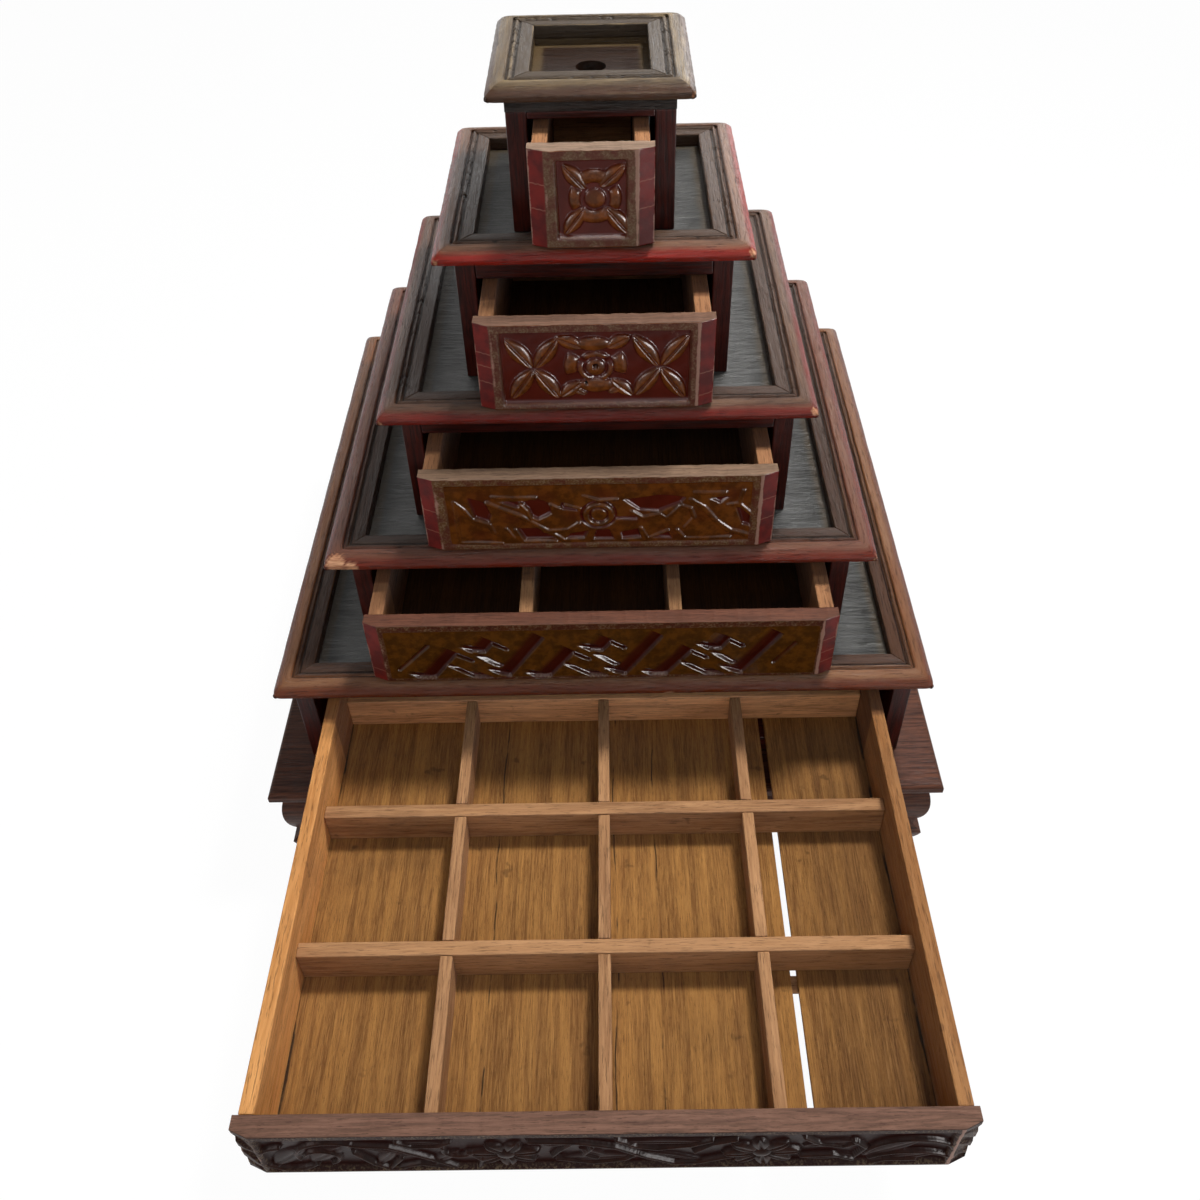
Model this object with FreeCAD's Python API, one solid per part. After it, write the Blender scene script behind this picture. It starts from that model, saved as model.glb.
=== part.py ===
import FreeCAD, Part
import math
import os

# A stepped tabletop apothecary chest: five square casings of falling size, each with one
# drawer, a moulded cornice frame round its top and the next casing standing on its top panel.
# Millimetres, +Z up. The drawer fronts face -Y and +X is to the right of someone who faces
# the drawers. The pieces are worked out about the upright middle line of the casings, and
# saved about the middle of the footprint of the whole, open drawers included, on the ground.
# The drawers are drawn as they stand part open: every "pulled_out" is that rest travel.

V = FreeCAD.Vector

# Driving sizes of the tiers, from the bottom tier up: half width and half depth over the
# cornice nose, how far the casing is set in from the nose, height of the nose above the
# surface that the tier stands on, depth of the front rail below the nose, play of the
# drawer at each side, thickness of its sides and how far it stands pulled out
TIER_1_HALF_WIDTH = 190.0
TIER_1_HALF_DEPTH = 185.0
TIER_1_SET_IN = 9.0
TIER_1_NOSE_RISE = 70.0
TIER_1_RAIL_DROP = 14.0
TIER_1_SIDE_PLAY = 5.7
TIER_1_DRAWER_WALL = 7.5
TIER_1_PULLED_OUT = 239.0

TIER_2_HALF_WIDTH = 155.0
TIER_2_HALF_DEPTH = 148.0
TIER_2_SET_IN = 12.0
TIER_2_NOSE_RISE = 70.0
TIER_2_RAIL_DROP = 14.0
TIER_2_SIDE_PLAY = 1.2
TIER_2_DRAWER_WALL = 8.5
TIER_2_PULLED_OUT = 42.0

TIER_3_HALF_WIDTH = 119.0
TIER_3_HALF_DEPTH = 114.0
TIER_3_SET_IN = 11.0
TIER_3_NOSE_RISE = 78.0
TIER_3_RAIL_DROP = 17.0
TIER_3_SIDE_PLAY = 1.2
TIER_3_DRAWER_WALL = 8.5
TIER_3_PULLED_OUT = 37.0

TIER_4_HALF_WIDTH = 84.0
TIER_4_HALF_DEPTH = 79.5
TIER_4_SET_IN = 10.5
TIER_4_NOSE_RISE = 79.0
TIER_4_RAIL_DROP = 16.5
TIER_4_SIDE_PLAY = 1.0
TIER_4_DRAWER_WALL = 8.5
TIER_4_PULLED_OUT = 42.0

TIER_5_HALF_WIDTH = 52.0
TIER_5_HALF_DEPTH = 53.5
TIER_5_SET_IN = 9.0
TIER_5_NOSE_RISE = 77.0
TIER_5_RAIL_DROP = 15.0
TIER_5_SIDE_PLAY = 1.0
TIER_5_DRAWER_WALL = 8.0
TIER_5_PULLED_OUT = 32.0
TIER_5_TRAY_SINK = 3.0

TIERS = [
    dict(half_width=TIER_1_HALF_WIDTH, half_depth=TIER_1_HALF_DEPTH, set_in=TIER_1_SET_IN,
         nose_rise=TIER_1_NOSE_RISE, rail_drop=TIER_1_RAIL_DROP, side_play=TIER_1_SIDE_PLAY,
         drawer_wall=TIER_1_DRAWER_WALL, pulled_out=TIER_1_PULLED_OUT, tray_sink=0.0),
    dict(half_width=TIER_2_HALF_WIDTH, half_depth=TIER_2_HALF_DEPTH, set_in=TIER_2_SET_IN,
         nose_rise=TIER_2_NOSE_RISE, rail_drop=TIER_2_RAIL_DROP, side_play=TIER_2_SIDE_PLAY,
         drawer_wall=TIER_2_DRAWER_WALL, pulled_out=TIER_2_PULLED_OUT, tray_sink=0.0),
    dict(half_width=TIER_3_HALF_WIDTH, half_depth=TIER_3_HALF_DEPTH, set_in=TIER_3_SET_IN,
         nose_rise=TIER_3_NOSE_RISE, rail_drop=TIER_3_RAIL_DROP, side_play=TIER_3_SIDE_PLAY,
         drawer_wall=TIER_3_DRAWER_WALL, pulled_out=TIER_3_PULLED_OUT, tray_sink=0.0),
    dict(half_width=TIER_4_HALF_WIDTH, half_depth=TIER_4_HALF_DEPTH, set_in=TIER_4_SET_IN,
         nose_rise=TIER_4_NOSE_RISE, rail_drop=TIER_4_RAIL_DROP, side_play=TIER_4_SIDE_PLAY,
         drawer_wall=TIER_4_DRAWER_WALL, pulled_out=TIER_4_PULLED_OUT, tray_sink=0.0),
    dict(half_width=TIER_5_HALF_WIDTH, half_depth=TIER_5_HALF_DEPTH, set_in=TIER_5_SET_IN,
         nose_rise=TIER_5_NOSE_RISE, rail_drop=TIER_5_RAIL_DROP, side_play=TIER_5_SIDE_PLAY,
         drawer_wall=TIER_5_DRAWER_WALL, pulled_out=TIER_5_PULLED_OUT, tray_sink=TIER_5_TRAY_SINK),
]

# Casing boards
CASING_WALL = 10.8
CASING_BACK = 8.0
PANEL_THICKNESS = 5.0
FLOOR_OVER_FRAME = 0.7
BASE_FLOOR = 12.0

# Cornice moulding section
FRAME_WIDTH = 21.5
FRAME_HEIGHT = 8.0
NOSE_HEIGHT = 3.0
NOSE_ROUND = 0.8
SLOPE_WIDTH = 9.5
SLOPE_CROWN_IN = 3.04
SLOPE_CROWN_UP = 3.0
GROOVE_WIDTH = 1.2
GROOVE_DEPTH = 1.3
BEAD_WIDTH = 2.6
BAND_DROP = 0.6

# Drawers
RUN_PLAY = 0.3
TOP_PLAY = 0.9
REAR_PLAY = 2.0
FRONT_THICKNESS = 10.0
FRONT_PROUD = 2.0
CANT_WIDTH = 8.3
CANT_DEPTH = 3.5
SIDE_INSET = 2.0
SIDE_LOW = 0.5
BOTTOM_RISE = 3.3
BOTTOM_THICKNESS = 3.0

# Cells of the lowest drawer and of the one above it
CELL_COLUMNS = 4
ROW_DEPTHS = [79.6, 72.6, 72.2]
CROSS_DIVIDER = 8.0
LONG_DIVIDER = 6.5
DIVIDER_LOW = 14.7
TALL_COLUMNS = 3
TALL_DIVIDER = 7.5
SPLIT_CENTRE = 96.0
SPLIT_GAP = 3.2
BATTEN_WIDTH = 9.0
BATTEN_THICKNESS = 2.6
BATTEN_FROM_FACE = 80.0

# Holes
FINIAL_HOLE_RADIUS = 8.0
PULL_HOLE_RADIUS = 1.6
PULL_DRAWER = 4

# Base
LEDGE_HALF_WIDTH = 204.0
LEDGE_HALF_DEPTH = 205.0
LEDGE_THICKNESS = 8.0
LEDGE_ROUND = 2.5
FOOT_HEIGHT = 67.0
FOOT_SET_IN = 8.0
FOOT_REACH = 54.0
FOOT_WALL = 16.0
BULGE_OUT = 4.5
BULGE_DEPTH = 43.0
PINCH_IN = 3.0
HOOF_OUT = 4.0
HOOF_DEPTH = 5.0
HOOF_TAPER = 9.0
HOOF_WAIST = 3.15
APRON_HEIGHT = 36.0
APRON_ARCH = 12.0
ARCH_FROM_END = 28.5

# How far a cutting solid goes beyond what it cuts, and the smallest length that counts
OVER = 1.0
CUT_MARGIN = 16.0
TINY = 1e-6

os.makedirs("parts", exist_ok=True)


def footprint_middle():
    """Y of the middle of everything: from the drawer face that stands out furthest to the
    rear edge of the ledge."""
    faces = [tier["half_depth"] - tier["set_in"] + FRONT_PROUD + tier["pulled_out"] for tier in TIERS]
    return (LEDGE_HALF_DEPTH - max(faces)) / 2


def save(name, solids):
    """Write one node, a single solid or several as a compound, about the footprint's middle."""
    shape = solids[0].copy() if len(solids) == 1 else Part.makeCompound(solids)
    shape.translate(V(0, -footprint_middle(), 0))
    shape.exportStep("parts/" + name + ".step")


def board(x0, x1, y0, y1, z0, z1):
    """A plain board between two corners."""
    return Part.makeBox(x1 - x0, y1 - y0, z1 - z0, V(x0, y0, z0))


def mirror_x(shape):
    """The same piece on the other side of the chest."""
    return shape.mirror(V(0, 0, 0), V(1, 0, 0))


def turned(shape, degrees):
    """The piece turned about the upright axis through the origin."""
    copy = shape.copy()
    copy.rotate(V(0, 0, 0), V(0, 0, 1), degrees)
    return copy


def face_from(edges):
    """A flat face inside a closed run of edges."""
    return Part.Face(Part.Wire(edges))


def run_of(points):
    """Straight edges through the points, in order."""
    edges = []
    for start, end in zip(points[:-1], points[1:]):
        edges.append(Part.LineSegment(start, end).toShape())
    return edges


def cornice_section(nose_y, nose_z):
    """Section of the front moulding in the YZ plane: nose, broad rounded slope, groove,
    bead, groove and flat inner band. u runs inwards from the nose, v up from the foot."""
    foot = nose_z - NOSE_HEIGHT

    def at(u, v):
        return V(0, nose_y + u, foot + v)

    top = FRAME_HEIGHT
    floor = top - GROOVE_DEPTH
    bead = SLOPE_WIDTH + GROOVE_WIDTH
    second = bead + BEAD_WIDTH
    band = second + GROOVE_WIDTH
    edges = run_of([at(FRAME_WIDTH, 0), at(NOSE_ROUND, 0), at(0, NOSE_ROUND), at(0, NOSE_HEIGHT)])
    middle = at(SLOPE_CROWN_IN, NOSE_HEIGHT + SLOPE_CROWN_UP)
    edges.append(Part.Arc(at(0, NOSE_HEIGHT), middle, at(SLOPE_WIDTH, top)).toShape())
    edges += run_of([at(SLOPE_WIDTH, top), at(SLOPE_WIDTH, floor), at(bead, floor)])
    crown = at(bead + BEAD_WIDTH / 2, top)
    edges.append(Part.Arc(at(bead, floor), crown, at(second, floor)).toShape())
    edges += run_of([at(second, floor), at(band, floor), at(band, top - BAND_DROP),
                     at(FRAME_WIDTH, top - BAND_DROP), at(FRAME_WIDTH, 0)])
    return face_from(edges)


def mitred(section_at, across, inwards, low, high):
    """One moulding: its section swept along X and cut at both ends on the mitre lines that
    start at the outer corners. across and inwards are the outer half sizes along X and Y."""
    span = across + FRAME_WIDTH
    bar = section_at.extrude(V(2 * span, 0, 0))
    bar.translate(V(-span, 0, 0))
    reach = min(across, inwards)
    plan = [V(-across, -inwards, low), V(across, -inwards, low),
            V(across - reach, -inwards + reach, low), V(-across + reach, -inwards + reach, low)]
    if across - reach < TINY:
        plan = plan[:3]
    wedge = face_from(run_of(plan + plan[:1])).extrude(V(0, 0, high - low))
    return bar.common(wedge).Solids[0]


def cornice(tier, nose_z):
    """Four mitred mouldings round the top of a casing."""
    low = nose_z - NOSE_HEIGHT - OVER
    high = nose_z + FRAME_HEIGHT
    wide = tier["half_width"]
    deep = tier["half_depth"]
    pieces = []
    for quarter, (across, inwards) in enumerate([(wide, deep), (deep, wide), (wide, deep), (deep, wide)]):
        bar = mitred(cornice_section(-inwards, nose_z), across, inwards, low, high)
        pieces.append(turned(bar, 90 * quarter))
    return pieces


def casing(number, tier, stand_z, nose_z, floor_thickness, opening_top):
    """The box of one tier: two sides, back, floor board, front rail, top panel and cornice."""
    half = tier["half_width"] - tier["set_in"]
    deep = tier["half_depth"] - tier["set_in"]
    inner = half - CASING_WALL
    panel_top = nose_z - NOSE_HEIGHT
    sink = tier["tray_sink"]
    panel_foot = panel_top - PANEL_THICKNESS - sink
    floor_top = stand_z + floor_thickness
    side = board(inner, half, -deep, deep, stand_z, panel_foot)
    save("casing_sides_%d" % number, [mirror_x(side), side])
    save("casing_back_%d" % number,
         [board(-inner, inner, deep - CASING_BACK, deep, stand_z, panel_foot)])
    save("casing_floor_%d" % number,
         [board(-inner, inner, -deep, deep - CASING_BACK, stand_z, floor_top)])
    save("casing_rail_%d" % number,
         [board(-inner, inner, -deep, -deep + CASING_WALL, opening_top, panel_foot)])
    panel = board(-half, half, -deep, deep, panel_foot, panel_top)
    if sink > 0:
        tray_x = tier["half_width"] - FRAME_WIDTH
        tray_y = tier["half_depth"] - FRAME_WIDTH
        panel = panel.cut(board(-tray_x, tray_x, -tray_y, tray_y, panel_top - sink, panel_top))
        hole = Part.makeCylinder(FINIAL_HOLE_RADIUS, PANEL_THICKNESS + 2 * OVER, V(0, 0, panel_foot - OVER))
        panel = panel.cut(hole)
    save("top_panel_%d" % number, [panel])
    save("cornice_%d" % number, cornice(tier, nose_z))


def drawer_front(half, face_y, z0, z1):
    """Front board with a canted strip at each end, seen in plan and raised to its height."""
    back = face_y + FRONT_THICKNESS
    plan = [V(-half, back, z0), V(-half, face_y + CANT_DEPTH, z0), V(-half + CANT_WIDTH, face_y, z0),
            V(half - CANT_WIDTH, face_y, z0), V(half, face_y + CANT_DEPTH, z0), V(half, back, z0)]
    return face_from(run_of(plan + plan[:1])).extrude(V(0, 0, z1 - z0))


def drawer(number, tier, floor_top, opening_top):
    """One drawer: front, sides between front and rear corners, back and bottom boards."""
    deep = tier["half_depth"] - tier["set_in"]
    opening = tier["half_width"] - tier["set_in"] - CASING_WALL
    half = opening - tier["side_play"]
    wall = tier["drawer_wall"]
    shut_face = -deep - FRONT_PROUD
    face = shut_face - tier["pulled_out"]
    rear = deep - CASING_BACK - REAR_PLAY - tier["pulled_out"]
    z0 = floor_top + RUN_PLAY
    z1 = opening_top - TOP_PLAY
    side_top = z1 - SIDE_LOW
    outer = half - SIDE_INSET
    inner = outer - wall
    behind_front = face + FRONT_THICKNESS
    front = drawer_front(half, face, z0, z1)
    if number == PULL_DRAWER:
        centre = V(0, face - OVER, (z0 + z1) / 2)
        bore = FRONT_THICKNESS + 2 * OVER
        front = front.cut(Part.makeCylinder(PULL_HOLE_RADIUS, bore, centre, V(0, 1, 0)))
    save("drawer_front_%d" % number, [front])
    side = board(inner, outer, behind_front, rear, z0, side_top)
    save("drawer_sides_%d" % number, [mirror_x(side), side])
    save("drawer_back_%d" % number, [board(-inner, inner, rear - wall, rear, z0, side_top)])
    bottom_z = z0 + BOTTOM_RISE
    floor_z = bottom_z + BOTTOM_THICKNESS
    bottom = [board(-inner, inner, behind_front, rear - wall, bottom_z, floor_z)]
    if number == 1:
        gap = SPLIT_GAP / 2
        bottom = [board(-inner, SPLIT_CENTRE - gap, behind_front, rear - wall, bottom_z, floor_z),
                  board(SPLIT_CENTRE + gap, inner, behind_front, rear - wall, bottom_z, floor_z)]
        grid_dividers(inner, behind_front, rear - wall, floor_z, side_top - DIVIDER_LOW + SIDE_LOW)
        batten_y = face + BATTEN_FROM_FACE
        save("drawer_batten", [board(-inner, inner, batten_y, batten_y + BATTEN_WIDTH,
                                     bottom_z - BATTEN_THICKNESS, bottom_z)])
    if number == 2:
        tall_dividers(inner, behind_front, rear - wall, floor_z, side_top)
    save("drawer_bottom_%d" % number, bottom)


def divider_lines(inner, columns, thickness):
    """Left edges of the dividers that share the inside width evenly."""
    cell = (2 * inner - (columns - 1) * thickness) / columns
    return [-inner + cell + i * (cell + thickness) for i in range(columns - 1)]


def grid_dividers(inner, y_front, y_back, z0, z1):
    """Cross dividers right across the drawer, and short ones between them in every row."""
    crossings = []
    y = y_front
    for depth in ROW_DEPTHS:
        y += depth
        crossings.append(y)
        y += CROSS_DIVIDER
    save("cross_dividers", [board(-inner, inner, y0, y0 + CROSS_DIVIDER, z0, z1) for y0 in crossings])
    starts = [y_front] + [y0 + CROSS_DIVIDER for y0 in crossings]
    ends = crossings + [y_back]
    pieces = []
    for x0 in divider_lines(inner, CELL_COLUMNS, LONG_DIVIDER):
        for start, end in zip(starts, ends):
            pieces.append(board(x0, x0 + LONG_DIVIDER, start, end, z0, z1))
    save("long_dividers", pieces)


def tall_dividers(inner, y_front, y_back, z0, z1):
    """Full-height dividers from front to back."""
    lines = divider_lines(inner, TALL_COLUMNS, TALL_DIVIDER)
    save("tall_dividers", [board(x0, x0 + TALL_DIVIDER, y_front, y_back, z0, z1) for x0 in lines])


def ledge():
    """Flat board under the lowest casing, its rim rounded."""
    slab = board(-LEDGE_HALF_WIDTH, LEDGE_HALF_WIDTH, -LEDGE_HALF_DEPTH, LEDGE_HALF_DEPTH,
                 FOOT_HEIGHT, FOOT_HEIGHT + LEDGE_THICKNESS)
    rim = []
    for edge in slab.Edges:
        level = edge.BoundBox
        if level.ZLength < TINY:
            rim.append(edge)
    return slab.makeFillet(LEDGE_ROUND, rim)


def skirt_section(height, with_hoof):
    """Section of a foot or an apron. u is outwards from its upper outer line, z is height.
    Under the ledge it swells to a round shoulder and is pinched; a foot then flares again
    to a hoof that tapers to the ground."""
    top = FOOT_HEIGHT
    low = top - height
    shoulder_low = top - min(height, BULGE_DEPTH)
    edges = run_of([V(0, -FOOT_WALL, low), V(0, -FOOT_WALL, top), V(0, 0, top)])
    middle = V(0, BULGE_OUT, (top + shoulder_low) / 2)
    foot_of_bulge = V(0, -PINCH_IN, shoulder_low)
    edges.append(Part.Arc(V(0, 0, top), middle, foot_of_bulge).toShape())
    if with_hoof:
        tip_z = shoulder_low - HOOF_DEPTH
        edges += run_of([foot_of_bulge, V(0, HOOF_OUT, tip_z)])
        toe = V(0, HOOF_OUT - HOOF_TAPER, low)
        waist = V(0, HOOF_OUT - HOOF_WAIST, (tip_z + low) / 2)
        edges.append(Part.Arc(V(0, HOOF_OUT, tip_z), waist, toe).toShape())
        edges += run_of([toe, V(0, -FOOT_WALL, low)])
    else:
        edges += run_of([foot_of_bulge, V(0, -FOOT_WALL, low)])
    return face_from(edges)


def skirt_bar(section, half_span, outer):
    """The section swept along X on the front side, its outer line at y = -outer."""
    bar = section.extrude(V(2 * half_span, 0, 0))
    bar.translate(V(-half_span, 0, 0))
    bar = bar.mirror(V(0, 0, 0), V(0, 1, 0))
    bar.translate(V(0, -outer, 0))
    return bar


def feet(outer_x, outer_y):
    """Four corner feet: two mitred legs of the skirt section fused into one block each."""
    section = skirt_section(FOOT_HEIGHT, True)
    far = max(outer_x, outer_y) + CUT_MARGIN
    front = skirt_bar(section, far, outer_y)
    left = turned(skirt_bar(section, far, outer_x), -90)
    zone = board(-far, -outer_x + FOOT_REACH, -far, -outer_y + FOOT_REACH, -OVER, FOOT_HEIGHT + OVER)
    tall = V(0, 0, FOOT_HEIGHT + 2 * OVER)
    outside = V(-outer_x - far, -outer_y - far, -OVER)
    inside = V(far, -outer_y + far + outer_x, -OVER)
    before = V(far, -outer_y - far, -OVER)
    beside = V(-outer_x - far, -outer_y + far + outer_x, -OVER)
    front_zone = face_from(run_of([outside, before, inside, outside])).extrude(tall)
    left_zone = face_from(run_of([outside, inside, beside, outside])).extrude(tall)
    front_half = front.common(front_zone).common(zone)
    left_half = left.common(left_zone).common(zone)
    foot = front_half.fuse(left_half).removeSplitter()
    right = mirror_x(foot)
    front_feet = [foot, right]
    rear_feet = [piece.mirror(V(0, 0, 0), V(0, 1, 0)) for piece in front_feet]
    return [piece.Solids[0] for piece in front_feet + rear_feet]


def aprons(outer_x, outer_y):
    """Four aprons between the feet, each arched along its lower edge."""
    pieces = []
    for quarter, (half, outer) in enumerate([(outer_x, outer_y), (outer_y, outer_x)] * 2):
        reach = half - FOOT_REACH
        bar = skirt_bar(skirt_section(APRON_HEIGHT, False), reach, outer)
        low = FOOT_HEIGHT - APRON_HEIGHT
        arch_half = reach - ARCH_FROM_END
        before = -outer - CUT_MARGIN
        start = V(-arch_half, before, low - OVER)
        end = V(arch_half, before, low - OVER)
        crown = V(0, before, low + APRON_ARCH)
        arch = face_from([Part.Arc(start, crown, end).toShape(), Part.LineSegment(end, start).toShape()])
        bar = bar.cut(arch.extrude(V(0, 2 * CUT_MARGIN + FOOT_WALL, 0)))
        pieces.append(turned(bar, 90 * quarter).Solids[0])
    return pieces


def base():
    """Ledge board, feet and aprons."""
    outer_x = LEDGE_HALF_WIDTH - FOOT_SET_IN
    outer_y = LEDGE_HALF_DEPTH - FOOT_SET_IN
    save("base_ledge", [ledge()])
    save("feet", feet(outer_x, outer_y))
    save("aprons", aprons(outer_x, outer_y))


def build():
    """Base, then every tier standing on the one below."""
    base()
    stand_z = FOOT_HEIGHT + LEDGE_THICKNESS
    for index, tier in enumerate(TIERS):
        number = index + 1
        nose_z = stand_z + tier["nose_rise"]
        floor_thickness = BASE_FLOOR if index == 0 else FRAME_HEIGHT + FLOOR_OVER_FRAME
        opening_top = nose_z - tier["rail_drop"]
        casing(number, tier, stand_z, nose_z, floor_thickness, opening_top)
        drawer(number, tier, stand_z + floor_thickness, opening_top)
        stand_z = nose_z - NOSE_HEIGHT
        print("tier", number, "nose", nose_z, "opening top", opening_top)


build()
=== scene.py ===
import math
import bpy
import numpy as np
from mathutils import Matrix, Vector


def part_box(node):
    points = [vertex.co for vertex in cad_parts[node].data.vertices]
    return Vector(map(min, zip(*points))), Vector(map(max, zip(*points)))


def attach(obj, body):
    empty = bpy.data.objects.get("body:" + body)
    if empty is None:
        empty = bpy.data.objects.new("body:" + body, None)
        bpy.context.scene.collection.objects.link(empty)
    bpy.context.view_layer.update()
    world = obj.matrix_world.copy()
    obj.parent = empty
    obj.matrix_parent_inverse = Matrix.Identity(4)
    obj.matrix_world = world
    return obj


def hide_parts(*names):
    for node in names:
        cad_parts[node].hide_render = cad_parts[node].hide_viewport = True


# Looks of a stepped apothecary chest: dark lacquered casings with moulded cornices, and
# drawers with carved fronts and bare wooden insides. Lengths are metres where nothing else is
# said. Mouldings and carvings are worked out in millimetres, and MM turns them into metres.

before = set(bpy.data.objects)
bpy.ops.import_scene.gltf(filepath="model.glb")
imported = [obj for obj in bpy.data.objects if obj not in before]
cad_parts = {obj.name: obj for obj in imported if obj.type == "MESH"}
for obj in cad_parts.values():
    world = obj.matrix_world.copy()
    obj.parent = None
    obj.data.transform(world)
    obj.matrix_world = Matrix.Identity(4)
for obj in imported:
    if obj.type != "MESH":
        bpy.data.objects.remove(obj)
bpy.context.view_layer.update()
MM = 0.001
TIERS = (1, 2, 3, 4, 5)
MIDDLE_Y = sum(corner.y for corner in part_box("top_panel_5")) / 2


def srgb(r, g, b):
    """Linear colour of an 8-bit display colour."""
    c = np.array([r, g, b]) / 255.0
    return tuple(np.where(c <= 0.04045, c / 12.92, ((c + 0.055) / 1.055) ** 2.4)) + (1.0,)


def scaled(colour, share):
    """The same colour, darker or lighter."""
    return tuple(min(1.0, c * share) for c in colour[:3]) + (1.0,)


# Camera and light

LENS_PIXELS = 1145.5
IMAGE_PIXELS = 1200.0
CAMERA_FROM_MIDDLE = (8.5 * MM, -603.0 * MM, 660.7 * MM)
CAMERA_YAW, CAMERA_PITCH, CAMERA_ROLL = (math.radians(a) for a in (0.65, 42.6, -1.39))
CAMERA_AIM = (605.0, 523.0)


def add(thing):
    """Puts an object in the scene."""
    bpy.context.scene.collection.objects.link(thing)
    return thing


def place_camera():
    """A camera where the photographer stood: above, in front and nearly on the middle line."""
    data = bpy.data.cameras.new("view")
    data.sensor_width = 36.0
    data.lens = LENS_PIXELS / IMAGE_PIXELS * data.sensor_width
    data.shift_x = (IMAGE_PIXELS / 2 - CAMERA_AIM[0]) / IMAGE_PIXELS
    data.shift_y = (CAMERA_AIM[1] - IMAGE_PIXELS / 2) / IMAGE_PIXELS
    data.clip_start = 0.01
    camera = add(bpy.data.objects.new("view", data))
    x, y, z = CAMERA_FROM_MIDDLE
    matrix = Matrix.Translation((x, MIDDLE_Y + y, z))
    for angle, axis in ((CAMERA_YAW, "Z"), (math.pi / 2 - CAMERA_PITCH, "X"), (CAMERA_ROLL, "Z")):
        matrix = matrix @ Matrix.Rotation(angle, 4, axis)
    camera.matrix_world = matrix
    bpy.context.scene.camera = camera


LAMPS = [
    # name, place and aim as seen from the middle of the chest, size, watts, for gloss only
    ("key", (0.42, 0.24, 1.45), (0, -0.15, 0.1), 0.22, 20.5, False),
    ("over_camera", (0.0, -1.25, 1.35), (0, -0.1, 0.1), 0.7, 4.0, False),
    ("front_right", (1.0, -1.5, 0.55), (0, -0.1, 0.2), 0.9, 2.3, False),
    ("front_left", (-1.0, -1.5, 0.55), (0, -0.1, 0.2), 0.9, 2.3, False),
    ("sheen_right", (1.3, -1.1, 0.5), (0, -0.1, 0.2), 0.6, 62, True),
    ("sheen_left", (-1.3, -0.9, 0.7), (0, -0.1, 0.2), 0.6, 16, True),
    ("sheen_above", (0.2, -0.5, 1.6), (0, -0.1, 0.2), 0.5, 14, True),
    ("sheen_behind", (1.1, 1.8, 0.9), (0.1, 0, 0.25), 1.3, 20, True),
    ("sheen_behind_left", (-1.2, 1.7, 0.9), (-0.1, 0, 0.25), 1.1, 9, True),
]
ROOM_LIGHT = 0.13
FLOOR_SPAN = 6.0
FLOOR_GLOW, GLOW_SHARE = 1.02, 0.95
FLOOR_GREY = 0.85


def lamp(name, place, target, size, watts, gloss_only):
    """A square soft light, or one that shows in glossy surfaces only."""
    data = bpy.data.lights.new(name, "AREA")
    data.size = size
    data.energy = watts
    light = add(bpy.data.objects.new(name, data))
    light.location = (place[0], MIDDLE_Y + place[1], place[2])
    aim = Vector(target) - Vector(place)
    light.rotation_euler = aim.to_track_quat("-Z", "Y").to_euler()
    light.visible_diffuse = not gloss_only
    light.visible_camera = False


def sight(tree):
    """The kinds of ray, and 1 where a ray comes from the camera or a glossy surface."""
    rays = tree.nodes.new("ShaderNodeLightPath").outputs
    return rays, maths(tree, "MAXIMUM", rays["Is Camera Ray"], rays["Is Glossy Ray"])


def light_studio():
    """Soft light from above, a little behind and to the right, and a white room. The room is
    dim for diffuse rays; a strength of 1 is white where it is seen or mirrored."""
    for entry in LAMPS:
        lamp(*entry)
    world = bpy.data.worlds.new("room")
    bpy.context.scene.world = world
    world.use_nodes = True
    tree = world.node_tree
    tree.nodes.clear()
    rays, seen = sight(tree)
    clear = maths(tree, "MAXIMUM", seen, rays["Is Transmission Ray"])
    strength = put(tree, "ShaderNodeMapRange", {"Value": clear}, To_Min=ROOM_LIGHT, To_Max=1.0)
    back = put(tree, "ShaderNodeBackground", {"Strength": strength.outputs["Result"]}, Color=(1, 1, 1, 1))
    put(tree, "ShaderNodeOutputWorld", {"Surface": back.outputs[0]})


def lay_floor():
    """A plain white floor that keeps a faint shadow."""
    mesh = bpy.data.meshes.new("studio_floor")
    corners = [(x * FLOOR_SPAN, y * FLOOR_SPAN, 0) for x, y in ((-1, -1), (1, -1), (1, 1), (-1, 1))]
    mesh.from_pydata(corners, [], [(0, 1, 2, 3)])
    floor = add(bpy.data.objects.new("studio_floor", mesh))
    material = bpy.data.materials.new("studio_white")
    material.use_nodes = True
    tree = material.node_tree
    tree.nodes.clear()
    rays, seen = sight(tree)
    matt = put(tree, "ShaderNodeBsdfDiffuse", Color=(FLOOR_GREY, FLOOR_GREY, FLOOR_GREY, 1))
    glow = put(tree, "ShaderNodeEmission", Strength=FLOOR_GLOW)
    mix = put(tree, "ShaderNodeMixShader",
              {0: times(tree, seen, GLOW_SHARE), 1: matt.outputs[0], 2: glow.outputs[0]})
    put(tree, "ShaderNodeOutputMaterial", {"Surface": mix.outputs[0]})
    mesh.materials.append(material)


# Shader groups

def new_group(name, inputs, outputs):
    """An empty shader group with named sockets: (name, kind) in, names of numbers out."""
    group = bpy.data.node_groups.new(name, "ShaderNodeTree")
    for label, kind in inputs:
        group.interface.new_socket(label, in_out="INPUT", socket_type=kind)
    for label in outputs:
        group.interface.new_socket(label, in_out="OUTPUT", socket_type="NodeSocketFloat")
    return group, group.nodes.new("NodeGroupInput"), group.nodes.new("NodeGroupOutput")


def put(tree, kind, links=None, **values):
    """Add a node, set its properties and input values, and link its inputs. A link can be a
    value too."""
    node = tree.nodes.new(kind)
    for key, value in values.items():
        if hasattr(node, key):
            setattr(node, key, value)
        else:
            node.inputs[key.replace("_", " ")].default_value = value
    for key, source in (links or {}).items():
        feed(tree, node.inputs[key], source)
    return node


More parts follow.
